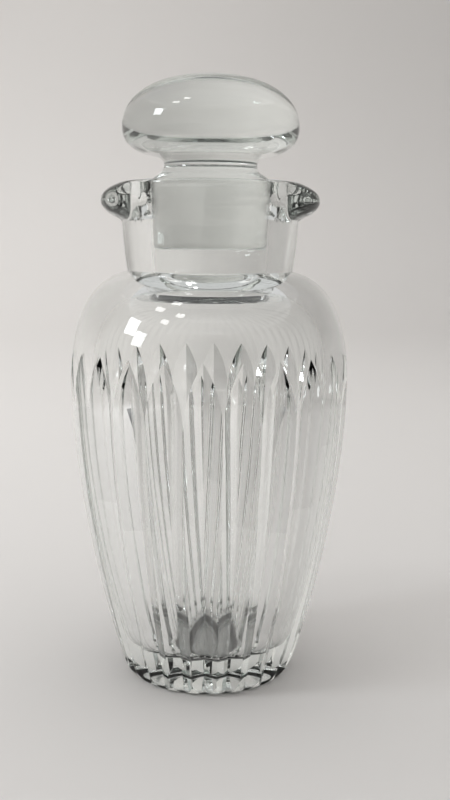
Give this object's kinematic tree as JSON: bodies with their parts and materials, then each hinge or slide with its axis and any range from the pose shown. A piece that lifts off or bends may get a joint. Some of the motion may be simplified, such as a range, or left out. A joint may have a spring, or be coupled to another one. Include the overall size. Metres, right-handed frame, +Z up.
{
  "type": "mixing glass",
  "caption": "Heavy cut-crystal mixing glass with opposed pour lips, a waisted neck and a lift-out solid glass stopper.",
  "frame": {"origin": "on the table, on the vessel's axis", "axes": "+Z up along the vessel's axis, +X and -X out through the two pour lips"},
  "size_m": [0.11, 0.11, 0.2397],
  "materials": {
    "vessel_crystal": "polished",
    "stopper_crystal": "polished"
  },
  "bodies": {
    "vessel": {"vessel": "vessel_crystal"},
    "stopper": {"stopper": "stopper_crystal"}
  },
  "joints": [
    {"name": "stopper_lift", "type": "slide", "parent": "vessel", "child": "stopper", "axis": [0, 0, 1], "range_m": [0, 0.06]}
  ]
}
